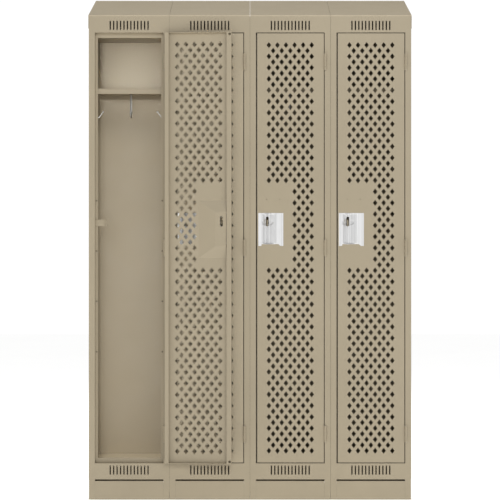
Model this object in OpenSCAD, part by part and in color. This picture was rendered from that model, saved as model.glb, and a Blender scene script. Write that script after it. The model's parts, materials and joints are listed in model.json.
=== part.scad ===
// A bank of four single-tier steel lockers with perforated doors, a sloped hood and a closed base.
// The front faces -Y, +X is to the right and the floor is at z = 0. Sizes are in millimetres.

/* [Lockers] */
// Width of one locker, seam to seam
locker_w = 304.8; // [290:0.1:360]
// Depth of the cabinet body
body_d = 304.8; // [280:0.1:460]
// Height from the floor to the hood's front edge
body_h = 1828.8; // [1750:0.1:2000]
// Height of the closed base
base_h = 76.2; // [60:0.1:110]
// Rise of the sloped hood from front to back
hood_rise = 101.6; // [60:0.1:150]
// Thickness of the body's sheet steel
body_t = 1; // [0.8:0.1:1.2]

/* [Front frames] */
// Width of the face of one stile
stile_w = 22.4; // [20:0.1:28]
// Height of the slotted header
header_h = 62; // [55:1:75]
// Height of the slotted sill
sill_h = 60.8; // [55:0.1:75]
// Thickness of the frames' sheet steel
frame_t = 1.5; // [1.2:0.1:1.6]
// Number of vent slots in each header and sill
slot_count = 12; // [6:1:14]

/* [Doors] */
// How far the first door stands open, in degrees
first_door_open = 175; // [0:1:175]
// Gap above, below and on the hinge side of each door
door_gap = 3; // [3:0.1:3.6]
// Gap at the free edge of each door
free_gap = 5; // [4:0.1:5.5]
// Depth of the folded door pan
door_d = 16; // [15:0.5:17]
// Thickness of the doors' sheet steel
door_t = 1.5; // [1.2:0.1:1.6]
// Number of diamonds in a wide row
diamond_cols = 6; // [4:1:6]
// Width of one diamond
diamond_w = 17.2; // [10:0.1:18]
// Height of one diamond
diamond_h = 22.8; // [14:0.1:24]
// Height of the handle's centre above the floor
handle_z = 1021.6; // [900:0.1:1100]

/* [Inside] */
// Height of the hat shelf's top above the floor
shelf_z = 1557; // [1450:1:1600]
// Height of the shelf's folded front lip
shelf_lip_h = 20; // [16:1:30]

/* [Hidden] */
$fn = 48;
count = 4;
paint = [0.74, 0.69, 0.59];
steel = [0.86, 0.87, 0.88];
zinc = [0.72, 0.73, 0.75];
rubber = [0.12, 0.12, 0.12];

// Hinges: the axis stands just in front of the frame's face and just beyond the opening's edge
knuckle_r = 4.4;
pin_r = 1.5;
running_gap = 0.08;
fixed_gap = 0.02;
axis_out = knuckle_r + 0.2;
axis_in = 2.4;
edge_to_axis = door_gap + axis_in;
door_leaf_t = 1.3;
frame_leaf_t = 1.2;
leaf_start = knuckle_r + 0.4;
hinge_h = 62;
knuckles = 5;
knuckle_gap = 0.4;
knuckle_h = (hinge_h - (knuckles - 1) * knuckle_gap) / knuckles;
hinge_inset = 108;

// Openings and doors
open_w = locker_w - 2 * stile_w;
sill_z = base_h + sill_h;
head_z = body_h - header_h;
door_w = open_w - door_gap - free_gap;
door_h = head_z - sill_z - 2 * door_gap;
door_z = sill_z + door_gap;
hinge_zs = [door_z + hinge_inset, door_z + door_h / 2, door_z + door_h - hinge_inset];

// The whole object, open door and all, is centred over the origin
swing_r = door_w + edge_to_axis;
open_reach = swing_r * sin(first_door_open) - (axis_out + door_d) * cos(first_door_open);
front_reach = axis_out + max(knuckle_r, open_reach);
hood_t = 1.2;
front_y = (front_reach - body_d - hood_t) / 2;

// Frames
seam_gap = 0.8;
frame_half = (locker_w - seam_gap) / 2;
flange_x = locker_w / 2 - body_t / 2 - frame_t;
flange_d = 20;
jamb_d = door_d + 2.6;
lip_side = 10;
lip_end = 18;
slot_w = 5;
slot_h = 34.6;
slot_pitch = 13;
slot_from_edge = 35.4;

// Body panels
pan_half = locker_w / 2 - body_t / 2 - 0.3;
pan_front = jamb_d + frame_t + 0.5;
rear_strip_w = 16;
hood_flange_w = 16;
back_z = 25;
rear_y = body_d - 2 * body_t;
pan_fold = 15;
fit_gap = 0.3;
shelf_front = 24;

// Hood
hood_lip = 3.2;
hood_slope = hood_rise / (body_d + hood_t);
hood_drop = hood_t / cos(atan(hood_slope));
hood_back_lap = 12;
skirt_h = 46;
skirt_x = count * locker_w / 2 + 0.9;
hood_bolt_drop = 23;
hood_bolt_in = 28;

// Door pan and its diamonds
free_lip = 18;
hinge_lip = 15;
relief_r = 5;
relief_in = 5;
relief_down = 8.6;
side_margin = 49;
end_margin = 44.6;
nominal_row = 21.3;
diamond_pitch = (open_w - 2 * side_margin) / (diamond_cols - 1);
opening_mid = open_w / 2 - free_gap;
diamond_rows = 2 * round((door_h - 2 * end_margin) / (2 * nominal_row)) + 1;
row_pitch = (door_h - 2 * end_margin) / (diamond_rows - 1);
blank_above = 176;
blank_below = 146;

// Handle pan, measured from the door's free edge and from the door's face
pan_t = 1;
pan_u0 = 4;
pan_u1 = 98.6;
scoop_u0 = 17.4;
scoop_u1 = 78;
crease_u0 = 33;
crease_u1 = 36;
scoop_d = 10.6;
pan_half_h = 62.25;
scoop_rise = 7;
corner_cut = 11;
curve_steps = 8;
slot_u = 38;
slot_above = 30.2;
hasp_slot_w = 10;
hasp_slot_h = 37;
cover_y = scoop_d + pan_t + 0.4;
cover_u0 = free_lip + 1.5;
cover_flat_u = 62;
cover_u1 = 130;
cover_flat_half = 64;
cover_half_h = 112;
cover_foot = 0.5;
cover_t = 1;
plate_hole_r = 1.6;
plate_hole_us = [36, 84.8];
plate_hole_above = 114.6;

// Hasp: a plate on the strike lip with a tongue that passes through the door's slot
hasp_t = 2;
tongue_t = 3;
hasp_h = 24;
hasp_z = handle_z + 25.4;
tongue_x = free_gap + slot_u;
tongue_tip = 0;
tongue_corner = 6;
eye_r = 4.5;
eye_y = 6.5;

// Fasteners
bolt_r = 3;
bolt_clear_r = 3.3;
head_r = 5.5;
head_h = 3;
nut_r = 5.8;
nut_h = 5;
gang_zs = [420, 1480];
gang_y = 12;
anchor_r = 4.2;
anchor_z = 1700;

// Base
plinth_h = 70;
plinth_t = 1.2;
plinth_fold = 12;
plinth_lap = 14;
leg_w = 30;
leg_t = 1.5;
foot_hole_r = 4;

// Hooks
hook_w = 8.5;
hook_y = 100;
hook_bar = 3;
hook_foot = 32;
hook_drop = 91.5;
hook_ring_r = 11;
hook_ball_r = 3.4;
side_hook_y = 60;
side_hook_z = 1464;
side_hook_w = 6;
side_hook_reach = 34;
side_hook_low = 14;
side_hook_prong = 23.6;
side_hook_angle = 53.6;

silencer_r = 3;
silencer_h = 2.2;
silencer_zs = [558, 749, 940, 1131];

function numbered(name) = [for (i = [1 : count]) str(name, "_", i)];

function seam_x(k) = (k - count / 2) * locker_w;
function locker_x(i) = seam_x(i - 0.5);
function ease(s) = (1 - cos(180 * s)) / 2;
function scoop_y(u) =
  u <= scoop_u0 || u >= scoop_u1 ? -pan_t
  : u < crease_u0 ? -pan_t + (scoop_d + pan_t) * ease((u - scoop_u0) / (crease_u0 - scoop_u0))
  : u <= crease_u1 ? scoop_d
  : -pan_t + (scoop_d + pan_t) * ease((scoop_u1 - u) / (scoop_u1 - crease_u1));
scoop_us = concat(
  [for (n = [0 : curve_steps]) scoop_u0 + n * (crease_u0 - scoop_u0) / curve_steps],
  [for (n = [0 : curve_steps]) crease_u1 + n * (scoop_u1 - crease_u1) / curve_steps]
);

// Extrudes an outline drawn in x and z from y0 to y1
module slab(y0, y1) translate([0, y1, 0]) rotate([90, 0, 0]) linear_extrude(y1 - y0) children();

// Extrudes an outline drawn in y and z from x0 to x1
module slice(x0, x1) translate([x0, 0, 0]) rotate([90, 0, 90]) linear_extrude(x1 - x0) children();

// A cylinder along x from x0 to x1
module rod_x(r, x0, x1) translate([x0, 0, 0]) rotate([0, 90, 0]) cylinder(r = r, h = x1 - x0);

// A rounded upright slot about the origin
module slot_2d(w, h) {
  square([w, h - w], center = true);
  for (s = [-1, 1]) translate([0, s * (h - w) / 2]) circle(d = w);
}

// The door opening, grown by a margin on every side
module opening_2d(side, end) {
  translate([-open_w / 2 - side, sill_z - end])
    square([open_w + 2 * side, head_z - sill_z + 2 * end]);
}

module in_locker(i) translate([locker_x(i), front_y, 0]) children();
module on_seam(k) translate([seam_x(k), front_y, 0]) children();

// Places a child that is drawn about its hinge axis with the door shut
module on_hinge(i, angle) {
  translate([locker_x(i) + open_w / 2 + axis_in, front_y - axis_out, 0]) rotate([0, 0, angle]) children();
}
module on_door(i) on_hinge(i, i == 1 ? first_door_open : 0) children();

// Places a child measured from the door's free edge and face
module from_free_edge() translate([-edge_to_axis - door_w, axis_out, 0]) children();

// ---- Cabinet body ----

// Side sheet at an end, or between two lockers, where it reaches down between the frames' legs
module upright(k) color(paint) on_seam(k) difference() {
  low = k == 0 || k == count ? base_h : back_z;
  translate([-body_t / 2, frame_t, low]) cube([body_t, rear_y - frame_t, body_h - 2 * body_t - low]);
  for (z = gang_zs) translate([0, gang_y, z]) rod_x(bolt_clear_r, -body_t, body_t);
  if (k == 0 || k == count)
    for (y = [hood_bolt_in, body_d - hood_bolt_in])
      translate([0, y, body_h - hood_bolt_drop]) rod_x(bolt_clear_r, -body_t, body_t);
}

module back_panel(i) color(paint) in_locker(i) slab(body_d - body_t, body_d) difference() {
  translate([-frame_half, back_z]) square([2 * frame_half, body_h - 2 * body_t - back_z]);
  if (i == 2 || i == 3) translate([0, anchor_z]) circle(anchor_r);
}

// Shallow pan with its four edges folded towards dir
module folded_pan(i, z, dir) {
  in_locker(i) translate([0, pan_front, z]) mirror([0, 0, dir > 0 ? 0 : 1]) difference() {
    translate([-pan_half, 0, 0]) cube([2 * pan_half, rear_y - fit_gap - pan_front, pan_fold]);
    translate([-pan_half + body_t, body_t, body_t])
      cube([2 * (pan_half - body_t), rear_y - fit_gap - pan_front - 2 * body_t, pan_fold]);
  }
}
module floor_pan(i) color(paint) folded_pan(i, sill_z, -1);
module ceiling_pan(i) color(paint) folded_pan(i, head_z, 1);

module hat_shelf(i) color(paint) in_locker(i) translate([0, shelf_front, shelf_z]) {
  depth = rear_y - fit_gap - shelf_front;
  difference() {
    translate([-pan_half, 0, -pan_fold]) cube([2 * pan_half, depth, pan_fold]);
    translate([-pan_half + body_t, body_t, -pan_fold - body_t])
      cube([2 * (pan_half - body_t), depth - 2 * body_t, pan_fold]);
  }
  translate([-pan_half, 0, -shelf_lip_h]) cube([2 * pan_half, body_t, shelf_lip_h - pan_fold + body_t]);
}

module vent_slots(z) {
  for (n = [0 : slot_count - 1])
    translate([(n - (slot_count - 1) / 2) * slot_pitch, z]) square([slot_w, slot_h], center = true);
}

module front_frame(i) color(paint) in_locker(i) {
  // face with its slots, over the two legs
  slab(0, frame_t) difference() {
    translate([-frame_half, 0]) square([2 * frame_half, body_h]);
    opening_2d(0, 0);
    translate([stile_w - frame_half, -1]) square([2 * (frame_half - stile_w), base_h + 1]);
    vent_slots(body_h - slot_from_edge);
    vent_slots(base_h + slot_from_edge);
  }
  // outer flanges, bolted to the side sheets
  for (s = [-1, 1]) difference() {
    translate([s * (flange_x + frame_t / 2) - frame_t / 2, 0, 0]) cube([frame_t, flange_d, body_h]);
    for (z = gang_zs)
      translate([s * flange_x, gang_y, z]) rod_x(bolt_clear_r, -2 * frame_t, 2 * frame_t);
  }
  // folds along the top and under the sill
  for (z = [body_h - frame_t, base_h])
    translate([-flange_x, 0, z]) cube([2 * flange_x, flange_d, frame_t]);
  // jambs, then the strike lip behind the door
  slab(0, jamb_d) difference() {
    opening_2d(frame_t, frame_t);
    opening_2d(0, 0);
  }
  slab(jamb_d, jamb_d + frame_t) difference() {
    opening_2d(frame_t, frame_t);
    opening_2d(-lip_side, -lip_end);
  }
}

module hasp(i) color(paint) in_locker(i) translate([-open_w / 2, 0, hasp_z]) difference() {
  union() {
    translate([0, jamb_d - hasp_t, -hasp_h / 2]) cube([tongue_x + tongue_t / 2, hasp_t, hasp_h]);
    slice(tongue_x - tongue_t / 2, tongue_x + tongue_t / 2) {
      translate([tongue_tip + tongue_corner, -hasp_h / 2])
        square([jamb_d - tongue_tip - tongue_corner, hasp_h]);
      translate([tongue_tip, tongue_corner - hasp_h / 2])
        square([jamb_d - tongue_tip, hasp_h - 2 * tongue_corner]);
      for (s = [-1, 1])
        translate([tongue_tip + tongue_corner, s * (hasp_h / 2 - tongue_corner)]) circle(tongue_corner);
    }
  }
  translate([tongue_x, eye_y, 0]) rod_x(eye_r, -tongue_t, tongue_t);
}

// Top face of the hood at a depth y, and the sheet's outline in y and z
function hood_top(y) = body_h + hood_lip + y * hood_slope;
hood_back = body_d + hood_t;
hood_outline = [
  [0, body_h], [0, hood_top(0)], [hood_back, hood_top(hood_back)], [hood_back, body_h - hood_back_lap],
  [body_d, body_h - hood_back_lap], [body_d, hood_top(body_d) - hood_drop],
  [hood_t, hood_top(hood_t) - hood_drop], [hood_t, body_h]
];

module hood(i) color(paint) translate([0, front_y, 0]) slice(
  i == 1 ? -skirt_x : seam_x(i - 1) + seam_gap / 2,
  i == count ? skirt_x : seam_x(i) - seam_gap / 2
) polygon(hood_outline);

module hood_end(side) color(paint) translate([0, front_y, 0]) mirror([side > 0 ? 0 : 1, 0, 0]) {
  difference() {
    slice(skirt_x, skirt_x + hood_t) polygon([
      [0, body_h - skirt_h], [0, hood_top(0)],
      [hood_back, hood_top(hood_back)], [hood_back, body_h - skirt_h]
    ]);
    for (y = [hood_bolt_in, body_d - hood_bolt_in])
      translate([skirt_x, y, body_h - hood_bolt_drop]) rod_x(bolt_clear_r, -hood_t, 2 * hood_t);
  }
  // flange under the hood sheet
  under = hood_drop + 0.1;
  slice(skirt_x - hood_flange_w, skirt_x) polygon([
    [pan_fold, hood_top(pan_fold) - under], [body_d - pan_fold, hood_top(body_d - pan_fold) - under],
    [body_d - pan_fold, hood_top(body_d - pan_fold) - under - hood_drop],
    [pan_fold, hood_top(pan_fold) - under - hood_drop]
  ]);
}

// Flush between the legs, on a backing that laps behind them
module plinth(i) color(paint) in_locker(i) {
  half = frame_half - stile_w - fit_gap;
  translate([-half, frame_t - plinth_t, 0]) cube([2 * half, plinth_t, plinth_h]);
  translate([-half, frame_t, plinth_h - plinth_t]) cube([2 * half, plinth_fold, plinth_t]);
  translate([-half - plinth_lap, frame_t, plinth_lap / 2])
    cube([2 * (half + plinth_lap), plinth_t, plinth_h - plinth_lap]);
}

module end_bases() color(paint) for (k = [0, count]) on_seam(k)
  translate([-body_t / 2, flange_d + fit_gap, 0])
    cube([body_t, body_d - body_t - flange_d - 2 * fit_gap, base_h]);

// Strips across the side sheets' rear edges, which carry the backs
function strip_x(k) = k == 0 ? -body_t / 2 : k == count ? body_t / 2 - rear_strip_w : -rear_strip_w / 2;
module rear_strip(k) translate([strip_x(k), rear_y, base_h + fit_gap])
  cube([rear_strip_w, body_t, body_h - 2 * body_t - base_h - fit_gap]);

// Angle leg at the back with a foot
module rear_leg(k) mirror([k == count ? 1 : 0, 0, 0])
  translate([body_t / 2, body_d - leg_w - body_t, 0]) {
    cube([leg_t, leg_w, base_h]);
    translate([0, leg_w - leg_t, 0]) cube([leg_w, leg_t, base_h]);
    difference() {
      cube([leg_w, leg_w, leg_t]);
      if (k == 0 || k == count)
        translate([leg_w / 2, leg_w / 2, -leg_t]) cylinder(r = foot_hole_r, h = 3 * leg_t);
    }
  }

module rear_posts() color(paint) for (k = [0 : count]) on_seam(k) {
  rear_strip(k);
  rear_leg(k);
}

// Double prong coat hooks that hang from the shelves
module double_hook() slice(-hook_w / 2, hook_w / 2) {
  translate([-hook_foot / 2, -hook_bar]) square([hook_foot, hook_bar]);
  translate([-hook_bar / 2, -hook_drop]) square([hook_bar, hook_drop]);
  for (s = [-1, 1]) translate([s * hook_ring_r, -hook_drop]) {
    difference() {
      circle(hook_ring_r + hook_bar / 2);
      circle(hook_ring_r - hook_bar / 2);
      translate([-2 * hook_ring_r, 0]) square(4 * hook_ring_r);
    }
    translate([s * hook_ring_r - hook_bar / 2, -0.1]) square([hook_bar, hook_ring_r / 2]);
    translate([s * hook_ring_r, hook_ring_r / 2]) circle(hook_ball_r);
  }
}
module double_hooks() color(zinc) for (i = [1 : count])
  in_locker(i) translate([0, hook_y, shelf_z - body_t]) double_hook();

// Single hooks on the side sheets
module side_hook() slab(-side_hook_w / 2, side_hook_w / 2) {
  translate([0, -16]) square([2, 32]);
  translate([0, -side_hook_low - 2]) square([side_hook_reach, 4]);
  translate([side_hook_reach, -side_hook_low]) {
    circle(2);
    rotate(side_hook_angle) translate([0, -2]) square([side_hook_prong, 4]);
    rotate(side_hook_angle) translate([side_hook_prong, 0]) circle(hook_ball_r);
  }
}
module side_hooks() color(zinc) for (i = [1 : count]) for (s = [0, 1])
  in_locker(i) mirror([s, 0, 0])
    translate([(body_t - locker_w) / 2, side_hook_y, side_hook_z]) side_hook();

// ---- Hinges ----

// One leaf about the hinge axis: a plate in the gap and every second knuckle
module leaf(x0, x1, y1, first, bore_r) {
  for (z = hinge_zs) translate([0, 0, z - hinge_h / 2]) {
    translate([x0, leaf_start, 0]) cube([x1 - x0, y1 - leaf_start, hinge_h]);
    for (n = [first : 2 : knuckles - 1])
      translate([0, 0, n * (knuckle_h + knuckle_gap)]) difference() {
        union() {
          cylinder(r = knuckle_r, h = knuckle_h);
          translate([x0, 0, 0]) cube([x1 - x0, leaf_start + frame_t, knuckle_h]);
        }
        translate([0, 0, -1]) cylinder(r = bore_r, h = knuckle_h + 2);
      }
  }
}

module frame_hinge_leaves() color(paint) for (i = [1 : count])
  on_hinge(i, 0) leaf(-axis_in - frame_leaf_t, -axis_in, axis_out + 14, 0, pin_r + fixed_gap);

module door_hinge_leaves(i) color(paint) on_door(i)
  leaf(-edge_to_axis, door_leaf_t - edge_to_axis, axis_out + door_d - 1, 1, pin_r + running_gap);

module hinge_pins() color(zinc) for (i = [1 : count]) for (z = hinge_zs) on_hinge(i, 0) {
  translate([0, 0, z - hinge_h / 2]) cylinder(r = pin_r, h = hinge_h);
  for (s = [0, 1]) mirror([0, 0, s]) translate([0, 0, (1 - 2 * s) * z + hinge_h / 2])
    cylinder(r1 = 2.8, r2 = 2, h = 1.2);
}

// ---- Fasteners ----

// Bolt along +x with its head's seat at x = 0 and a nut against x = grip
module bolt_and_nut(grip) {
  rod_x(head_r, -head_h, 0);
  rod_x(bolt_r, -0.5, grip + nut_h + 1);
  difference() {
    translate([grip, 0, 0]) rotate([0, 90, 0]) cylinder(r = nut_r, h = nut_h, $fn = 6);
    rod_x(bolt_r + fixed_gap, grip - 1, grip + nut_h + 1);
  }
}

module gang_fasteners() color(zinc) for (k = [1 : count - 1]) for (z = gang_zs)
  on_seam(k) translate([-body_t / 2 - frame_t, gang_y, z]) bolt_and_nut(body_t + 2 * frame_t);

module hood_fasteners() color(zinc) for (s = [0, 1]) for (y = [hood_bolt_in, body_d - hood_bolt_in])
  mirror([s, 0, 0]) translate([-skirt_x - hood_t, front_y + y, body_h - hood_bolt_drop])
    bolt_and_nut(skirt_x + hood_t - count * locker_w / 2 + body_t / 2);

// Rubber silencers on the strike lips
module silencers() color(rubber) for (i = [1 : count]) for (s = [-1, 1]) for (z = silencer_zs)
  in_locker(i) translate([s * (open_w / 2 - 6), jamb_d, z]) rotate([90, 0, 0])
    cylinder(r1 = silencer_r, r2 = silencer_r - 0.5, h = silencer_h);

// ---- Doors ----

module diamond() polygon([[diamond_w / 2, 0], [0, diamond_h / 2], [-diamond_w / 2, 0], [0, -diamond_h / 2]]);

// Staggered rows, left blank on the free side round the handle
module diamonds() {
  for (r = [0 : diamond_rows - 1]) {
    cols = diamond_cols - r % 2;
    z = door_z + door_h - end_margin - r * row_pitch;
    blank = z > handle_z - blank_below && z < handle_z + blank_above;
    for (c = [0 : cols - 1]) {
      from_middle = (c - (cols - 1) / 2) * diamond_pitch;
      if (!blank || from_middle > diamond_pitch / 4)
        translate([opening_mid + from_middle, z]) diamond();
    }
  }
}

// A low mound that slopes to the door's face above, below and on the hinge side
module cover_block() {
  top = cover_y + cover_t;
  intersection() {
    translate([0, 0, handle_z - cover_half_h]) linear_extrude(2 * cover_half_h)
      polygon([[cover_u0, cover_foot], [cover_u0, top], [cover_flat_u, top], [cover_u1, cover_foot]]);
    translate([0, 0, handle_z]) slice(cover_u0, cover_u1) polygon([
      [cover_foot, -cover_half_h], [top, -cover_flat_half], [top, cover_flat_half], [cover_foot, cover_half_h]
    ]);
  }
}

module door_panel(i) color(paint) on_door(i) from_free_edge() {
  // perforated face
  slab(0, door_t) difference() {
    translate([0, door_z]) square([door_w, door_h]);
    diamonds();
    translate([scoop_u0 - 0.4, handle_z - pan_half_h + scoop_rise - fit_gap])
      square([scoop_u1 - scoop_u0 + 0.8, 2 * pan_half_h - scoop_rise + 2 * fit_gap]);
    for (u = plate_hole_us) translate([u, handle_z + plate_hole_above]) circle(plate_hole_r);
  }
  // flanges all round
  slab(0, door_d) difference() {
    translate([0, door_z]) square([door_w, door_h]);
    translate([door_t, door_z + door_t]) square([door_w - 2 * door_t, door_h - 2 * door_t]);
  }
  // inward lips down both sides, the free one with corner relief holes
  slab(door_d - door_t, door_d) {
    difference() {
      translate([0, door_z]) square([free_lip, door_h]);
      for (z = [door_z + relief_down, door_z + door_h - relief_down])
        translate([relief_in + door_t, z]) circle(relief_r);
    }
    translate([door_w - hinge_lip, door_z]) square([hinge_lip, door_h]);
  }
  // latch cover behind the handle
  difference() {
    cover_block();
    translate([-1, -cover_t, 0]) cover_block();
    translate([slot_u, 0, handle_z + slot_above])
      slab(0, door_d) slot_2d(hasp_slot_w + 1, hasp_slot_h + 2);
  }
}

module handle_pan(i) color(steel) on_door(i) from_free_edge() {
  front = concat([[pan_u0, -pan_t]], [for (u = scoop_us) [u, scoop_y(u)]], [[pan_u1, -pan_t]]);
  last = len(front) - 1;
  low = handle_z - pan_half_h;
  // folded sheet, with the hasp's slot at the foot of the scoop
  difference() {
    translate([0, 0, low + scoop_rise]) linear_extrude(2 * pan_half_h - scoop_rise)
      polygon(concat(front, [for (n = [0 : last]) front[last - n] + [0, pan_t]]));
    translate([slot_u, 0, handle_z + slot_above]) slab(0, door_d) slot_2d(hasp_slot_w, hasp_slot_h);
  }
  // the side flanges reach lower than the scoop
  slab(-pan_t, 0) {
    translate([pan_u0, low]) square([scoop_u0 - pan_u0, scoop_rise + 1]);
    polygon([
      [scoop_u1, low + scoop_rise], [scoop_u1 + corner_cut, low], [pan_u1, low],
      [pan_u1, low + scoop_rise + 1], [scoop_u1, low + scoop_rise + 1]
    ]);
  }
  // ends of the scoop
  for (z = [low + scoop_rise, handle_z + pan_half_h - pan_t])
    translate([0, 0, z]) linear_extrude(pan_t) polygon([for (u = scoop_us) [u, scoop_y(u) + pan_t / 2]]);
}

upright(0);  // side_panel_left
upright(count);  // side_panel_right
hood_end(-1);  // hood_end_left
hood_end(1);  // hood_end_right
for (k = [1 : count - 1]) upright(k);
for (i = [1 : count]) {
  back_panel(i);
  floor_pan(i);
  ceiling_pan(i);
  hat_shelf(i);
  front_frame(i);
  hasp(i);
  hood(i);
  plinth(i);
  door_panel(i);
  handle_pan(i);
  door_hinge_leaves(i);
}
end_bases();
rear_posts();
double_hooks();
side_hooks();
frame_hinge_leaves();
hinge_pins();
gang_fasteners();
hood_fasteners();
silencers();
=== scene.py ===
"""Locker cabinet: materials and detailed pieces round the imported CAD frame. Metres, front towards -Y."""
import json
import math

import bmesh
import bpy
from mathutils import Matrix, Vector


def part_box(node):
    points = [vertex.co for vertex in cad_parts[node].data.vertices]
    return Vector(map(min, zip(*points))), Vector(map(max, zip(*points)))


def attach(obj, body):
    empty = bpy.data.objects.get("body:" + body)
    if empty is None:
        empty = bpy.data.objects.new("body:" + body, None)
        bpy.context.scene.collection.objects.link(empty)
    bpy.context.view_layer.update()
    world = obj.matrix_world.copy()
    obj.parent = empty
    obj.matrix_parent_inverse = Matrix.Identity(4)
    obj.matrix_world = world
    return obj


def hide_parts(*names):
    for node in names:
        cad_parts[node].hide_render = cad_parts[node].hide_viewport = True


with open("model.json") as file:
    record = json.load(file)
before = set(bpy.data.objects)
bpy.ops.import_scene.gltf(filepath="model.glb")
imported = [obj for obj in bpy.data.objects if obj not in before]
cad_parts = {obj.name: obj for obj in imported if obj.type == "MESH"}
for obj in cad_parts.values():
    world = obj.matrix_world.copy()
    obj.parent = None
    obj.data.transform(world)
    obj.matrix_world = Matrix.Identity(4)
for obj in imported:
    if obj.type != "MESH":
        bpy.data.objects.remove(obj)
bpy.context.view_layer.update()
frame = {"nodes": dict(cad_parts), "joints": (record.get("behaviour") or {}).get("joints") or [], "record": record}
MM = 0.001

# ---- Sizes, read from the frame ----
LOCKERS = (1, 2, 3, 4)
face_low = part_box("front_frame_2")[0]
FRONT = face_low.y
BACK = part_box("hood_1")[1].y
LOCKER_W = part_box("front_frame_3")[0].x - face_low.x
JOINTS = {j["child"]: j for j in frame["joints"]}
door_low, door_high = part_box("door_panel_2")
DOOR_W = door_high.x - door_low.x
FACE_Y = door_low.y
HALF_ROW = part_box("hood_end_right")[1].x


def hinge(i):
    x, y, _ = JOINTS[f"door_{i}"]["pos_m"]
    return x, y


def rest_angle(i):
    """How far door i stands open at rest: its joint is zero there and shuts towards its lower limit."""
    return -min(0.0, math.radians(JOINTS[f"door_{i}"]["range_deg"][0]))


EDGE_TO_AXIS = hinge(2)[0] - door_high.x


def from_free_edge(i):
    """Matrix that places a piece measured from door i's free edge and face, as the door stands at rest."""
    x, y = hinge(i)
    shut = Matrix.Translation((-EDGE_TO_AXIS - DOOR_W, FACE_Y - hinge(2)[1], 0))
    return Matrix.Translation((x, y, 0)) @ Matrix.Rotation(rest_angle(i), 4, "Z") @ shut


def locker_x(i):
    low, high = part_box(f"front_frame_{i}")
    return (low.x + high.x) / 2


# ---- Materials ----
class Nodes:
    """Short names for building a node tree."""

    def __init__(self, name):
        self.material = bpy.data.materials.new(name)
        self.material.use_nodes = True
        self.tree = self.material.node_tree
        self.shader = self.tree.nodes["Principled BSDF"]
        coordinates = self.tree.nodes.new("ShaderNodeTexCoord")
        self.place = coordinates.outputs["Object"]

    def add(self, kind, **inputs):
        node = self.tree.nodes.new("ShaderNode" + kind)
        for key, value in inputs.items():
            self.put(node.inputs[key.replace("_", " ")], value)
        return node

    def put(self, socket, value):
        if isinstance(value, bpy.types.NodeSocket):
            self.tree.links.new(value, socket)
        else:
            socket.default_value = value

    def stretched(self, scale):
        mapping = self.add("Mapping", Vector=self.place)
        mapping.inputs["Scale"].default_value = scale
        return mapping.outputs["Vector"]

    def noise(self, scale, detail=4.0, rough=0.55, place=None):
        node = self.add("TexNoise", Vector=place or self.place, Scale=scale, Detail=detail, Roughness=rough)
        return node.outputs["Fac"]

    def remap(self, value, low, high, to_low=0.0, to_high=1.0):
        node = self.add("MapRange", Value=value)
        for key, v in (("From Min", low), ("From Max", high), ("To Min", to_low), ("To Max", to_high)):
            node.inputs[key].default_value = v
        return node.outputs["Result"]

    def math(self, operation, a, b):
        node = self.add("Math")
        node.operation = operation
        self.put(node.inputs[0], a)
        self.put(node.inputs[1], b)
        return node.outputs["Value"]

    def mix(self, factor, a, b):
        node = self.tree.nodes.new("ShaderNodeMix")
        node.data_type = "RGBA"
        self.put(node.inputs[0], factor)
        self.put(node.inputs[6], a)
        self.put(node.inputs[7], b)
        return node.outputs[2]

    def edges(self, radius):
        """1 along sharp edges, fading to 0 over the radius."""
        bevel = self.add("Bevel", Radius=radius)
        bevel.samples = 4
        geometry = self.add("NewGeometry")
        dot = self.tree.nodes.new("ShaderNodeVectorMath")
        dot.operation = "DOT_PRODUCT"
        self.put(dot.inputs[0], bevel.outputs["Normal"])
        self.put(dot.inputs[1], geometry.outputs["Normal"])
        return self.remap(dot.outputs["Value"], 0.995, 0.80)

    def painted_gap_shade(self, reach):
        """Painted shade: 1 deep in narrow gaps and holes, where shade falls, and 0 on open faces."""
        hidden = self.add("AmbientOcclusion", Distance=reach)
        hidden.samples = 6
        return self.remap(hidden.outputs["AO"], 0.42, 0.14)

    def bump(self, height, strength, distance):
        node = self.add("Bump", Height=height, Strength=strength, Distance=distance)
        self.put(self.shader.inputs["Normal"], node.outputs["Normal"])


def rgb(r, g, b):
    return (r, g, b, 1.0)


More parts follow.
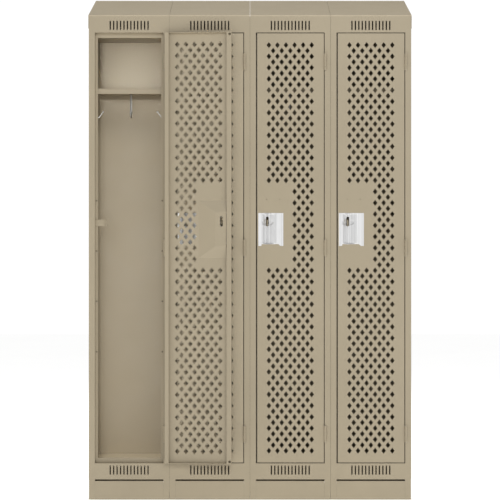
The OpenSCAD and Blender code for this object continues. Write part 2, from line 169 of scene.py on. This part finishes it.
def painted(name, base, worn):
    """Baked enamel on sheet steel: faint orange peel, slow shifts of tone, dust low down, painted shade in gaps
    and holes, and lighter edges that are partly rubbed wear and partly a painted highlight.
    """
    n = Nodes(name)
    tone = n.remap(n.noise(3.2, 3.0), 0.3, 0.7)
    light = rgb(*(min(1.0, c * 1.035) for c in base))
    dark = rgb(*(c * 0.965 for c in base))
    colour = n.mix(tone, dark, light)
    speckle = n.remap(n.noise(900.0, 2.0), 0.35, 0.65)
    colour = n.mix(n.math("MULTIPLY", speckle, 0.12), colour, rgb(*(c * 0.88 for c in base)))
    height = n.add("SeparateXYZ", Vector=n.place).outputs["Z"]
    low = n.remap(height, 0.35, 0.0)
    patches = n.remap(n.noise(14.0, 6.0, 0.65), 0.40, 0.75)
    dust = n.math("MULTIPLY", n.math("MULTIPLY", low, patches), 0.35)
    colour = n.mix(dust, colour, rgb(*(c * 0.82 for c in base)))
    # Painted shade: the enamel turns dark deep in gaps, holes and corners.
    colour = n.mix(n.painted_gap_shade(14.0 * MM), colour, rgb(*(c * 0.16 for c in base)))
    # Lighter edges: partly rubbed wear, partly a painted highlight.
    rubbed_and_highlit_edge = n.math("MULTIPLY", n.edges(1.1 * MM), n.remap(n.noise(60.0, 6.0, 0.7), 0.42, 0.72))
    colour = n.mix(n.math("MULTIPLY", rubbed_and_highlit_edge, 0.45), colour, rgb(*worn))
    n.put(n.shader.inputs["Base Color"], colour)
    smudges = n.remap(n.noise(9.0, 5.0, 0.6), 0.3, 0.75, 0.40, 0.52)
    fine = n.remap(n.noise(260.0, 2.0), 0.3, 0.7, -0.03, 0.03)
    n.put(n.shader.inputs["Roughness"], n.math("ADD", smudges, fine))
    n.shader.inputs["Specular IOR Level"].default_value = 0.42
    n.bump(n.noise(420.0, 2.0, 0.5), 0.22, 0.06 * MM)
    return n.material


REFLECTION_BAND_STRETCH = (190.0, 1.0, 0.4)
RUBBED_METAL = (0.9, 0.9, 0.88)


def brushed(name, base, roughness, stretch, strength, worn, metallic=1.0, reflection_bands=0.0):
    """Metal with a directional grain, finger marks and brighter rubbed edges; with reflection bands given, also
    painted upright reflection streaks and painted shade in its gaps and slot.
    """
    n = Nodes(name)
    grain = n.noise(1.0, 5.0, 0.7, n.stretched(stretch))
    marks = n.remap(n.noise(38.0, 4.0, 0.6), 0.35, 0.75)
    dark = rgb(*(c * 0.86 for c in base))
    colour = n.mix(n.remap(grain, 0.3, 0.7), dark, rgb(*base))
    if reflection_bands:
        # Painted reflection: darker upright streaks across the metal.
        reflection_band = n.remap(n.noise(1.0, 2.0, 0.5, n.stretched(REFLECTION_BAND_STRETCH)), 0.38, 0.62)
        colour = n.mix(n.math("MULTIPLY", reflection_band, reflection_bands), colour, rgb(*(c * 0.72 for c in base)))
        # Painted shade in the metal's gaps and its slot.
        colour = n.mix(n.painted_gap_shade(6.0 * MM), colour, rgb(*(c * 0.25 for c in base)))
    colour = n.mix(n.math("MULTIPLY", n.edges(0.9 * MM), worn), colour, rgb(*RUBBED_METAL))
    n.put(n.shader.inputs["Base Color"], colour)
    n.shader.inputs["Metallic"].default_value = metallic
    spread = n.math("ADD", n.remap(grain, 0.3, 0.7, -0.05, 0.05), n.remap(marks, 0.0, 1.0, 0.0, 0.09))
    n.put(n.shader.inputs["Roughness"], n.math("ADD", spread, roughness))
    n.bump(grain, strength, 0.04 * MM)
    return n.material


def rubber_material():
    n = Nodes("rubber_tan")
    colour = n.mix(n.remap(n.noise(300.0, 4.0), 0.3, 0.7), rgb(0.22, 0.19, 0.135), rgb(0.27, 0.235, 0.17))
    n.put(n.shader.inputs["Base Color"], colour)
    n.put(n.shader.inputs["Roughness"], n.remap(n.noise(700.0, 3.0), 0.3, 0.7, 0.65, 0.85))
    n.bump(n.noise(1500.0, 3.0), 0.3, 0.05 * MM)
    return n.material


FLOOR_GLOW = 0.7


def floor_material():
    """Pale floor with a glow that stays out from under the cabinet."""
    n = Nodes("floor_pale")
    colour = n.mix(n.remap(n.noise(1.5, 3.0), 0.3, 0.7), rgb(0.80, 0.80, 0.79), rgb(0.84, 0.84, 0.83))
    n.put(n.shader.inputs["Base Color"], colour)
    n.shader.inputs["Roughness"].default_value = 0.7
    n.shader.inputs["Emission Color"].default_value = rgb(1, 1, 1)
    apart = n.add("SeparateXYZ", Vector=n.place)
    across = n.math("LESS_THAN", n.math("ABSOLUTE", apart.outputs["X"], 0.0), HALF_ROW)
    behind_front = n.math("GREATER_THAN", apart.outputs["Y"], FRONT)
    along = n.math("MULTIPLY", behind_front, n.math("LESS_THAN", apart.outputs["Y"], BACK))
    glow = n.math("SUBTRACT", 1.0, n.math("MULTIPLY", across, along))
    n.put(n.shader.inputs["Emission Strength"], n.math("MULTIPLY", glow, FLOOR_GLOW))
    return n.material


PAINT = painted("enamel_beige", (0.440, 0.372, 0.258), (0.60, 0.54, 0.42))
STAINLESS = brushed("stainless_satin", (0.90, 0.90, 0.90), roughness=0.42, stretch=(1500.0, 1500.0, 22.0),
                    strength=0.25, worn=0.5, metallic=0.75, reflection_bands=0.6)
ZINC = brushed("zinc_bright", (0.62, 0.61, 0.58), roughness=0.30, stretch=(500.0, 500.0, 500.0),
               strength=0.15, worn=0.4)
RUBBER = rubber_material()
SLOT_MATERIALS = {"paint": PAINT, "stainless": STAINLESS, "zinc": ZINC, "rubber": RUBBER}
slot_of = {s["node"]: s["material_slot"] for s in frame["record"]["subparts"]}


# ---- Mesh helpers ----
def mesh_from(bm, name, smooth=True):
    bmesh.ops.recalc_face_normals(bm, faces=bm.faces)
    mesh = bpy.data.meshes.new(name)
    bm.to_mesh(mesh)
    bm.free()
    for p in mesh.polygons:
        p.use_smooth = smooth
    return mesh


def add_piece(name, mesh, body, slot, stands_for=()):
    obj = bpy.data.objects.new(name, mesh)
    bpy.context.scene.collection.objects.link(obj)
    mesh.materials.clear()
    mesh.materials.append(SLOT_MATERIALS[slot])
    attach(obj, body)
    if stands_for:
        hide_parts(*stands_for)
    return obj


def edge_bevel(obj, width, segments=2, angle=35):
    bevel = obj.modifiers.new("edges", "BEVEL")
    bevel.width = width
    bevel.segments = segments
    bevel.limit_method = "ANGLE"
    bevel.angle_limit = math.radians(angle)
    bevel.harden_normals = True


def lathe(bm, profile, matrix, steps=28, facets=None):
    """Turns a profile of (radius, height) about Z. facets gives a polygon, such as 6 for a nut."""
    count = facets or steps
    rings = []
    for radius, height in profile:
        if radius < 1e-7:
            rings.append([bm.verts.new(matrix @ Vector((0, 0, height)))])
            continue
        ring = []
        for k in range(count):
            a = 2 * math.pi * k / count
            ring.append(bm.verts.new(matrix @ Vector((radius * math.cos(a), radius * math.sin(a), height))))
        rings.append(ring)
    for low, high in zip(rings, rings[1:]):
        for k in range(count):
            m = (k + 1) % count
            if len(low) == 1 and len(high) == 1:
                continue
            if len(low) == 1:
                bm.faces.new((low[0], high[m], high[k]))
            elif len(high) == 1:
                bm.faces.new((low[k], low[m], high[0]))
            else:
                bm.faces.new((low[k], low[m], high[m], high[k]))


def smooth_by_angle(mesh, degrees=35):
    """Flat shading across sharp edges, smooth elsewhere."""
    bm = bmesh.new()
    bm.from_mesh(mesh)
    limit = math.radians(degrees)
    for e in bm.edges:
        e.smooth = len(e.link_faces) == 2 and e.calc_face_angle(0.0) < limit
    bm.to_mesh(mesh)
    bm.free()


def tube_along(points, radii, steps=14):
    """A closed mesh tube through points, with a radius at each, and rounded ends."""
    bm = bmesh.new()
    cuts = []
    for k, (p, r) in enumerate(zip(points, radii)):
        ahead = points[min(k + 1, len(points) - 1)] - points[max(k - 1, 0)]
        turn = ahead.normalized().to_track_quat("Z", "X").to_matrix()
        cuts.append([bm.verts.new(p + turn @ Vector((r * math.cos(a), r * math.sin(a), 0)))
                     for a in (2 * math.pi * s / steps for s in range(steps))])
    for low, high in zip(cuts, cuts[1:]):
        for s in range(steps):
            m = (s + 1) % steps
            bm.faces.new((low[s], low[m], high[m], high[s]))
    bm.faces.new(list(reversed(cuts[0])))
    bm.faces.new(cuts[-1])
    return bm


def joined(meshes, name):
    bm = bmesh.new()
    for mesh in meshes:
        bm.from_mesh(mesh)
        bpy.data.meshes.remove(mesh)
    return mesh_from(bm, name)


# ---- Handle pans: a scooped stainless sheet with a dimple round the hasp's slot ----
pan_low, pan_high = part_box("handle_pan_2")
HANDLE_Z = (pan_low.z + pan_high.z) / 2
PAN_HALF_H = (pan_high.z - pan_low.z) / 2
PAN_U0 = pan_low.x - door_low.x
PAN_U1 = pan_high.x - door_low.x
PAN_T = 1.0 * MM
SCOOP_U0 = 17.4 * MM
CREASE_U = 34.0 * MM
GROOVE_HALF = 2.2 * MM
SCOOP_U1 = 78.0 * MM
SCOOP_RISE = 7.0 * MM
CORNER_CUT = 11.0 * MM
SCOOP_D = 9.8 * MM
GROOVE_SHARE = 0.16
END_ROUND = 5.0 * MM
SIDE_ROUND = 2.0 * MM
PAN_COLUMNS = 120
PAN_ROWS = 80
SLOT_U = 38.0 * MM
SLOT_Z = 30.2 * MM
SLOT_W = 10.0 * MM
SLOT_H = 37.0 * MM
DIMPLE_U = 24.0 * MM
DIMPLE_Z = 13.0 * MM
DIMPLE_D = 1.5 * MM


def soft_step(s):
    s = min(1.0, max(0.0, s))
    return s * s * (3 - 2 * s)


def scoop_depth(u):
    """Share of the scoop's full depth: a steep wall to the crease's groove, then a long slope."""
    if u <= SCOOP_U0 or u >= SCOOP_U1:
        return 0.0
    groove = soft_step(1.0 - abs(u - CREASE_U - GROOVE_HALF) / GROOVE_HALF)
    if u < CREASE_U:
        wall = soft_step((u - SCOOP_U0) / (CREASE_U - SCOOP_U0))
    else:
        wall = 1.0 - soft_step((u - CREASE_U) / (SCOOP_U1 - CREASE_U)) ** 0.9
    return GROOVE_SHARE * groove + (1.0 - GROOVE_SHARE) * wall


def dimple_depth(u, z):
    reach = math.hypot((u - SLOT_U) / DIMPLE_U, (z - SLOT_Z + 3 * MM) / DIMPLE_Z)
    return DIMPLE_D * soft_step((1.0 - reach) / 0.22)


def pan_bottom(u):
    """How far the sheet's lower edge is raised: the flanges reach lower than the scoop."""
    if u <= SCOOP_U0:
        return SCOOP_RISE * soft_step((u - SCOOP_U0 + SIDE_ROUND) / SIDE_ROUND)
    if u <= SCOOP_U1:
        return SCOOP_RISE
    return SCOOP_RISE * (1 - soft_step((u - SCOOP_U1) / CORNER_CUT))


def pan_mesh(i):
    bm = bmesh.new()
    grid = []
    for c in range(PAN_COLUMNS + 1):
        u = PAN_U0 + (PAN_U1 - PAN_U0) * c / PAN_COLUMNS
        column = []
        for r in range(PAN_ROWS + 1):
            bottom = -PAN_HALF_H + pan_bottom(u)
            z = bottom + (PAN_HALF_H - bottom) * r / PAN_ROWS
            end = soft_step((PAN_HALF_H - z) / END_ROUND) * soft_step((z - bottom) / END_ROUND)
            inside = soft_step((u - SCOOP_U0) / SIDE_ROUND) * soft_step((SCOOP_U1 - u) / SIDE_ROUND)
            depth = scoop_depth(u) * SCOOP_D * end + dimple_depth(u, z) * inside * end
            column.append(bm.verts.new((u, depth - PAN_T, HANDLE_Z + z)))
        grid.append(column)
    for c in range(PAN_COLUMNS):
        for r in range(PAN_ROWS):
            bm.faces.new((grid[c][r], grid[c + 1][r], grid[c + 1][r + 1], grid[c][r + 1]))
    return mesh_from(bm, f"handle_{i}")


def slot_cutter():
    """A rounded upright slot through the pan, for the hasp's tongue."""
    bm = bmesh.new()
    outline = []
    for side, start in ((1, 0.0), (-1, math.pi)):
        for k in range(13):
            a = start + math.pi * k / 12
            outline.append((SLOT_U + SLOT_W / 2 * math.cos(a),
                            HANDLE_Z + SLOT_Z + side * (SLOT_H - SLOT_W) / 2 + SLOT_W / 2 * math.sin(a)))
    front = [bm.verts.new((u, -5 * MM, z)) for u, z in outline]
    back = [bm.verts.new((u, 20 * MM, z)) for u, z in outline]
    bm.faces.new(front)
    bm.faces.new(list(reversed(back)))
    for k in range(len(outline)):
        m = (k + 1) % len(outline)
        bm.faces.new((front[m], front[k], back[k], back[m]))
    return mesh_from(bm, "slot_cutter", False)


def applied(obj):
    """The object's mesh with its modifiers applied, the object itself taken away."""
    depsgraph = bpy.context.evaluated_depsgraph_get()
    mesh = bpy.data.meshes.new_from_object(obj.evaluated_get(depsgraph))
    bpy.data.objects.remove(obj)
    return mesh


def build_handle(i):
    """Thickens the scooped sheet, cuts its slot and hangs it on door i."""
    collection = bpy.context.scene.collection
    cutter = bpy.data.objects.new("cutter", slot_cutter())
    pan = bpy.data.objects.new("pan", pan_mesh(i))
    collection.objects.link(cutter)
    collection.objects.link(pan)
    thick = pan.modifiers.new("thickness", "SOLIDIFY")
    thick.thickness = PAN_T
    thick.offset = -1.0
    cut = pan.modifiers.new("slot", "BOOLEAN")
    cut.object = cutter
    cut.solver = "EXACT"
    bpy.context.view_layer.update()
    mesh = applied(pan)
    bpy.data.objects.remove(cutter)
    mesh.transform(from_free_edge(i))
    mesh.name = f"handle_{i}"
    smooth_by_angle(mesh, 50)
    add_piece(f"handle_scoop_{i}", mesh, f"door_{i}", "stainless", [f"handle_pan_{i}"])


for i in LOCKERS:
    build_handle(i)

# ---- Coat hooks ----
HOOK_LOW, HOOK_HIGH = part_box("double_hooks")
HOOK_W = 8.5 * MM
HOOK_Y = (HOOK_LOW.y + HOOK_HIGH.y) / 2
PRONG_R = 11.0 * MM
PRONG_DROP = 91.5 * MM
WIRE_R = 1.9 * MM
BALL_R = 3.6 * MM
FOOT = 32.0 * MM
FOOT_T = 3.0 * MM


def rounded_strip(points, width, thickness, bevel):
    """A flat strip that follows points in the YZ plane, with rounded edges."""
    bm = bmesh.new()
    cuts = []
    for k, p in enumerate(points):
        ahead = (points[min(k + 1, len(points) - 1)] - points[max(k - 1, 0)]).normalized()
        side = Vector((0, -ahead.z, ahead.y)) * thickness / 2
        across = Vector((width / 2, 0, 0))
        corners = (side - across, side + across, across - side, -side - across)
        cuts.append([bm.verts.new(p + v) for v in corners])
    for low, high in zip(cuts, cuts[1:]):
        for s in range(4):
            m = (s + 1) % 4
            bm.faces.new((low[s], low[m], high[m], high[s]))
    bm.faces.new(list(reversed(cuts[0])))
    bm.faces.new(cuts[-1])
    sharp = [e for e in bm.edges if len(e.link_faces) == 2 and e.calc_face_angle(0.0) > math.radians(40)]
    bmesh.ops.bevel(bm, geom=sharp, offset=bevel, segments=3, affect="EDGES", profile=0.5)
    return mesh_from(bm, "strip")


def ball(place, radius):
    bm = bmesh.new()
    bmesh.ops.create_uvsphere(bm, u_segments=20, v_segments=12, radius=radius)
    bmesh.ops.translate(bm, vec=place, verts=bm.verts)
    return mesh_from(bm, "ball")


def double_hook(x):
    """A foot under the shelf, a flat shank and two wire prongs with balls, curled forwards and backwards."""
    top = Vector((x, HOOK_Y, HOOK_HIGH.z))
    foot = [top + Vector((0, s * FOOT / 2, -FOOT_T / 2)) for s in (-1, 1)]
    meshes = [rounded_strip(foot, HOOK_W, FOOT_T, 0.7 * MM)]
    shank = [top + Vector((0, 0, -FOOT_T / 2 - k * (PRONG_DROP - FOOT_T / 2) / 6)) for k in range(7)]
    meshes.append(rounded_strip(shank, HOOK_W, FOOT_T, 0.9 * MM))
    for s in (-1, 1):
        points = []
        for k in range(15):
            a = math.pi * k / 14
            y = s * PRONG_R * (1 - math.cos(a))
            points.append(top + Vector((0, y, -PRONG_DROP - PRONG_R * math.sin(a))))
        points.append(points[-1] + Vector((0, 0, 4.5 * MM)))
        radii = [WIRE_R * (1.35 - 0.35 * k / (len(points) - 1)) for k in range(len(points))]
        meshes.append(mesh_from(tube_along(points, radii), "prong"))
        meshes.append(ball(points[-1] + Vector((0, 0, 1.2 * MM)), BALL_R))
    return joined(meshes, "double_hook")


meshes = [double_hook(locker_x(i)) for i in LOCKERS]
add_piece("coat_hooks_double", joined(meshes, "coat_hooks_double"), "cabinet", "zinc", ["double_hooks"])

SIDE_LOW, SIDE_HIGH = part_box("side_hooks")
SIDE_Y = (SIDE_LOW.y + SIDE_HIGH.y) / 2
SIDE_Z = (SIDE_LOW.z + SIDE_HIGH.z) / 2
WALL_T = 1.0 * MM
PLATE_H = 32.0 * MM
PLATE_T = 2.0 * MM
ARM_REACH = 34.0 * MM
ARM_LOW = 14.0 * MM
ARM_UP = 23.6 * MM
ARM_ANGLE = math.radians(53.6)
ARM_BEND = 6.0 * MM
ARM_ROOT = 4.0 * MM
RIVET_RISE = 11.0 * MM
RIVET = [(0, 0), (2.4 * MM, 0), (2.2 * MM, 0.7 * MM), (1.3 * MM, 1.2 * MM), (0, 1.4 * MM)]


def side_hook(i, s):
    """A cast single hook whose plate is on the wall on side s of locker i."""
    wall = Vector((locker_x(i) + s * (LOCKER_W - WALL_T) / 2, SIDE_Y, SIDE_Z))
    inward = Vector((-s, 0, 0))
    bm = bmesh.new()
    bmesh.ops.create_cube(bm, size=1.0)
    for v in bm.verts:
        v.co = wall + inward * (v.co.x + 0.5) * PLATE_T + Vector((0, v.co.y * 10 * MM, v.co.z * PLATE_H))
    bmesh.ops.bevel(bm, geom=bm.edges[:], offset=0.8 * MM, segments=3, affect="EDGES", profile=0.5)
    meshes = [mesh_from(bm, "plate")]
    points = [wall + inward * PLATE_T * 0.5 + Vector((0, 0, -ARM_LOW + ARM_ROOT))]
    for k in range(1, 7):
        dip = Vector((0, 0, -ARM_LOW + ARM_ROOT * (1 - k / 6) ** 2))
        points.append(wall + inward * (ARM_REACH - 5 * MM) * k / 6 + dip)
    bend = points[-1]
    for k in range(1, 6):
        a = ARM_ANGLE * k / 5
        points.append(bend + inward * ARM_BEND * math.sin(a) + Vector((0, 0, ARM_BEND * (1 - math.cos(a)))))
    rise = inward * math.cos(ARM_ANGLE) + Vector((0, 0, math.sin(ARM_ANGLE)))
    knee = points[-1]
    for k in range(1, 6):
        points.append(knee + rise * ARM_UP * k / 5)
    radii = [WIRE_R * (1.5 - 0.5 * k / (len(points) - 1)) for k in range(len(points))]
    meshes.append(mesh_from(tube_along(points, radii), "arm"))
    meshes.append(ball(points[-1], BALL_R))
    for z in (-RIVET_RISE, RIVET_RISE):
        rivet = bmesh.new()
        turn = inward.to_track_quat("Z", "Y").to_matrix().to_4x4()
        at = Matrix.Translation(wall + inward * (PLATE_T - 0.2 * MM) + Vector((0, 0, z))) @ turn
        lathe(rivet, RIVET, at, 20)
        meshes.append(mesh_from(rivet, "rivet"))
    return joined(meshes, "side_hook")


meshes = [side_hook(i, s) for i in LOCKERS for s in (-1, 1)]
add_piece("coat_hooks_single", joined(meshes, "coat_hooks_single"), "cabinet", "zinc", ["side_hooks"])

# ---- Bolts and nuts ----
BOLT_R = 3.0 * MM
HEAD_R = 5.5 * MM
HEAD_H = 3.0 * MM
NUT_R = 5.8 * MM
NUT_H = 5.0 * MM
CHAMFER = 0.6 * MM
gang_low, gang_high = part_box("gang_fasteners")
GANG_Y = (gang_low.y + gang_high.y) / 2
GANG_ZS = (gang_low.z + HEAD_R, gang_high.z - HEAD_R)
SHEET = 1.5 * MM


def bolt(place, outward, grip):
    """A domed bolt head at place facing outward, its shank and a chamfered hex nut behind the sheets."""
    turn = outward.to_track_quat("Z", "Y").to_matrix().to_4x4()
    at = Matrix.Translation(place) @ turn
    bm = bmesh.new()
    angles = [k * math.pi / 16 for k in range(8)]
    dome = [(HEAD_R * math.cos(a), HEAD_H * (0.12 + 0.88 * math.sin(a))) for a in angles]
    lathe(bm, [(0, 0), (HEAD_R, 0)] + dome + [(0, HEAD_H)], at)
    nut_end = -grip - NUT_H
    end = nut_end - 1 * MM
    lathe(bm, [(0, end), (BOLT_R * 0.8, end), (BOLT_R, end + CHAMFER), (BOLT_R, 0)], at)
    nut = [(BOLT_R, -grip), (NUT_R * 0.9, -grip), (NUT_R, -grip - CHAMFER),
           (NUT_R, nut_end + CHAMFER), (NUT_R * 0.9, nut_end), (BOLT_R, nut_end)]
    lathe(bm, nut, at, facets=6)
    return mesh_from(bm, "bolt")


meshes = []
for k in (1, 2, 3):
    seam = (locker_x(k) + locker_x(k + 1)) / 2
    for z in GANG_ZS:
        head = Vector((seam - WALL_T / 2 - SHEET, GANG_Y, z))
        meshes.append(bolt(head, Vector((-1, 0, 0)), WALL_T + 2 * SHEET))
gang = joined(meshes, "gang_bolts")
smooth_by_angle(gang)
add_piece("gang_bolts", gang, "cabinet", "zinc", ["gang_fasteners"])

hood_low, hood_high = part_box("hood_fasteners")
HOOD_BOLT_YS = (hood_low.y + HEAD_R, hood_high.y - HEAD_R)
HOOD_BOLT_Z = (hood_low.z + hood_high.z) / 2
HOOD_GRIP = 2.6 * MM
meshes = []
for s in (-1, 1):
    for y in HOOD_BOLT_YS:
        head = Vector((s * HALF_ROW, y, HOOD_BOLT_Z))
        meshes.append(bolt(head, Vector((s, 0, 0)), HOOD_GRIP))
hood_bolts = joined(meshes, "hood_bolts")
smooth_by_angle(hood_bolts)
add_piece("hood_bolts", hood_bolts, "cabinet", "zinc", ["hood_fasteners"])

# ---- Rubber silencers and hinge pins ----
SILENCER_R = 3.0 * MM
SILENCER = [(0, 0), (SILENCER_R, 0), (SILENCER_R, 1.2 * MM), (2.4 * MM, 1.9 * MM), (0, 2.2 * MM)]
quiet_low, quiet_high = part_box("silencers")
OPEN_HALF = (quiet_high.x - locker_x(4)) - SILENCER_R
LIP_Y = quiet_high.y
QUIET_STEP = (quiet_high.z - quiet_low.z - 2 * SILENCER_R) / 3
QUIET_ZS = [quiet_low.z + SILENCER_R + QUIET_STEP * k for k in range(4)]
bm = bmesh.new()
for i in LOCKERS:
    for s in (-1, 1):
        for z in QUIET_ZS:
            at = Matrix.Translation((locker_x(i) + s * OPEN_HALF, LIP_Y, z))
            lathe(bm, SILENCER, at @ Matrix.Rotation(math.pi / 2, 4, "X"), 20)
add_piece("silencer_buttons", mesh_from(bm, "silencer_buttons"), "cabinet", "rubber", ["silencers"])

PIN_R = 1.5 * MM
PIN_HEAD_R = 2.8 * MM
PIN_HEAD_H = 1.2 * MM
HINGE_H = 62.0 * MM
pin_low, pin_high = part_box("hinge_pins")
MID_Z = (pin_low.z + pin_high.z) / 2
HINGE_ZS = (pin_low.z + PIN_HEAD_H + HINGE_H / 2, MID_Z, pin_high.z - PIN_HEAD_H - HINGE_H / 2)
half = HINGE_H / 2
head = []
for k in range(7):
    a = k * math.pi / 14
    head.append((PIN_HEAD_R * math.cos(a), half + PIN_HEAD_H * math.sin(a)))
PIN = [(0, -half - PIN_HEAD_H)] + [(r, -h) for r, h in reversed(head)]
PIN += [(PIN_R, -half), (PIN_R, half)] + head + [(0, half + PIN_HEAD_H)]
bm = bmesh.new()
for i in LOCKERS:
    for z in HINGE_ZS:
        lathe(bm, PIN, Matrix.Translation((*hinge(i), z)), 24)
pins = mesh_from(bm, "hinge_pin_set")
smooth_by_angle(pins)
add_piece("hinge_pin_set", pins, "cabinet", "zinc", ["hinge_pins"])

# ---- Finishes and rounded edges on the CAD's own sheets ----
for name, obj in frame["nodes"].items():
    obj.data.materials.clear()
    obj.data.materials.append(SLOT_MATERIALS[slot_of[name]])
    if obj.hide_render:
        continue
    thin = "hinge_leaves" in name or name.startswith("back_panel")
    edge_bevel(obj, 0.3 * MM if thin else 0.45 * MM)

# ---- Floor ----
FLOOR_HALF = 12.0
bm = bmesh.new()
bmesh.ops.create_grid(bm, x_segments=1, y_segments=1, size=FLOOR_HALF)
floor = bpy.data.objects.new("floor", mesh_from(bm, "floor", False))
bpy.context.scene.collection.objects.link(floor)
floor.data.materials.append(floor_material())


# ---- Lights ----
def area_light(name, place, target, size, power, spread=None):
    """A soft rectangular lamp. With a spread, in degrees, it is a narrow beam that the camera doesn't see."""
    data = bpy.data.lights.new(name, "AREA")
    data.shape = "RECTANGLE"
    data.size, data.size_y = size
    data.energy = power
    light = bpy.data.objects.new(name, data)
    bpy.context.scene.collection.objects.link(light)
    light.location = place
    light.rotation_euler = (Vector(target) - Vector(place)).to_track_quat("-Z", "Y").to_euler()
    if spread:
        data.spread = math.radians(spread)
        light.visible_camera = False
    return light


def named(*names):
    return [bpy.data.objects[name] for name in names]


def link_group(name, pieces, state="INCLUDE"):
    """A collection for light linking, whose pieces are all let in or all left out."""
    made = bpy.data.collections.new(name)
    for piece in pieces:
        made.objects.link(piece)
    for member in made.collection_objects:
        member.light_linking.link_state = state
    return made


def lights_only(light, name, pieces):
    """The light falls on these pieces alone, as a snooted studio lamp would."""
    light.light_linking.receiver_collection = link_group(name, pieces)


# The front lamps leave the insides of the shut lockers dark. The back lamps light everything.
CLOSED = (2, 3, 4)
INSIDE = [f"{part}_{i}" for part in ("back_panel", "floor_pan", "ceiling_pan", "hat_shelf") for i in CLOSED]
INSIDE += ["partition_2", "partition_3", "side_panel_right"]
unlit = link_group("inside_closed_lockers", [frame["nodes"][name] for name in INSIDE], "EXCLUDE")
FRONT_LAMPS = (
    ("key", (-0.3, -6.2, 4.4), 1.0, (3.0, 2.0), 76),
    ("fill", (2.6, -6.0, 3.6), 1.0, (3.0, 2.0), 52),
    ("low_left", (-1.9, -6.4, 1.3), 0.9, (1.2, 2.0), 2),
    ("low_right", (1.9, -6.4, 1.3), 0.9, (1.2, 2.0), 8),
)
for name, place, target_z, size, power in FRONT_LAMPS:
    lamp = area_light(name, place, (0, 0, target_z), size, power)
    lamp.light_linking.receiver_collection = unlit
for name, x in (("back_left", -3.0), ("back_right", 3.0)):
    area_light(name, (x, 3.5, 2.6), (0, 0, 1.0), (2.5, 2.5), 60)

# The open locker's own lamps, and one for the hood
SHELF_SPACE = ["back_panel_1", "ceiling_pan_1", "side_panel_left", "partition_1"]
open_x = locker_x(1)
reach_in = area_light("reach_in", (open_x + 0.1, -4.7, 1.15), (open_x, 0, 1.1), (0.8, 1.6), 50)
lights_only(reach_in, "open_locker", named(*SHELF_SPACE, "floor_pan_1", "coat_hooks_single"))
reach_down = area_light("reach_down", (open_x, -3.4, 3.0), (open_x, 0, 0.1), (0.8, 0.8), 150)
lights_only(reach_down, "open_floor", named("floor_pan_1"))
shelf_place = (open_x, FRONT - 0.9, 1.58)
reach_up = area_light("reach_up", shelf_place, (open_x, 0, 1.63), (0.27, 0.16), 0.085, spread=16)
lights_only(reach_up, "open_shelf", named(*SHELF_SPACE))
hoods = [obj for name, obj in frame["nodes"].items() if name.startswith("hood_") and name != "hood_fasteners"]
lights_only(area_light("overhead", (0, -1.6, 4.6), (0, 0, 1.85), (2.4, 1.2), 46), "hoods", hoods)

# Narrow beams on the second door and its handle. The open door stands in front of them and casts no shade.
OPEN_DOOR = ("door_panel_1", "handle_scoop_1", "door_hinge_leaves_1")
unshaded = link_group("open_door", named(*OPEN_DOOR), "EXCLUDE")
BEAM_X = hinge(1)[0] + 0.54 * (DOOR_W + EDGE_TO_AXIS)
BEAM_W = 0.86 * DOOR_W
BEAM_BACK = 0.6
BEAMS = (
    ("beam_high", "door_panel_2", 1.20, 1.20, 0.28),
    ("beam_low", "door_panel_2", 0.40, 0.40, 0.20),
    ("beam_handle", "handle_scoop_2", 1.02, 0.20, 0.10),
)
for name, target, z, height, strength in BEAMS:
    power = strength * BEAM_W * height
    beam = area_light(name, (BEAM_X, FRONT - BEAM_BACK, z), (BEAM_X, 0, z), (BEAM_W, height), power, spread=5)
    lights_only(beam, name, named(target))
    beam.light_linking.blocker_collection = unshaded

# ---- World: dim as a light, white where it is seen ----
WORLD_LIGHT = 0.33
WORLD_SEEN = 1.05
world = bpy.data.worlds.new("studio")
bpy.context.scene.world = world
world.use_nodes = True
tree = world.node_tree
background = tree.nodes["Background"]
seen = tree.nodes.new("ShaderNodeBackground")
for shader, strength in ((background, WORLD_LIGHT), (seen, WORLD_SEEN)):
    shader.inputs["Color"].default_value = (1, 1, 1, 1)
    shader.inputs["Strength"].default_value = strength
path = tree.nodes.new("ShaderNodeLightPath")
choose = tree.nodes.new("ShaderNodeMixShader")
tree.links.new(path.outputs["Is Camera Ray"], choose.inputs[0])
tree.links.new(background.outputs[0], choose.inputs[1])
tree.links.new(seen.outputs[0], choose.inputs[2])
tree.links.new(choose.outputs[0], tree.nodes["World Output"].inputs["Surface"])

# ---- Camera ----
CAMERA_BACK = 6.15
CAMERA_Z = 0.944
LENS = 117.05
camera_data = bpy.data.cameras.new("camera")
camera_data.sensor_width = 36.0
camera_data.lens = LENS
camera_data.clip_end = 60.0
camera = bpy.data.objects.new("camera", camera_data)
bpy.context.scene.collection.objects.link(camera)
camera.location = (0, FRONT - CAMERA_BACK, CAMERA_Z)
camera.rotation_euler = (math.pi / 2, 0, 0)
bpy.context.scene.camera = camera
bpy.context.scene.view_settings.view_transform = "Standard"
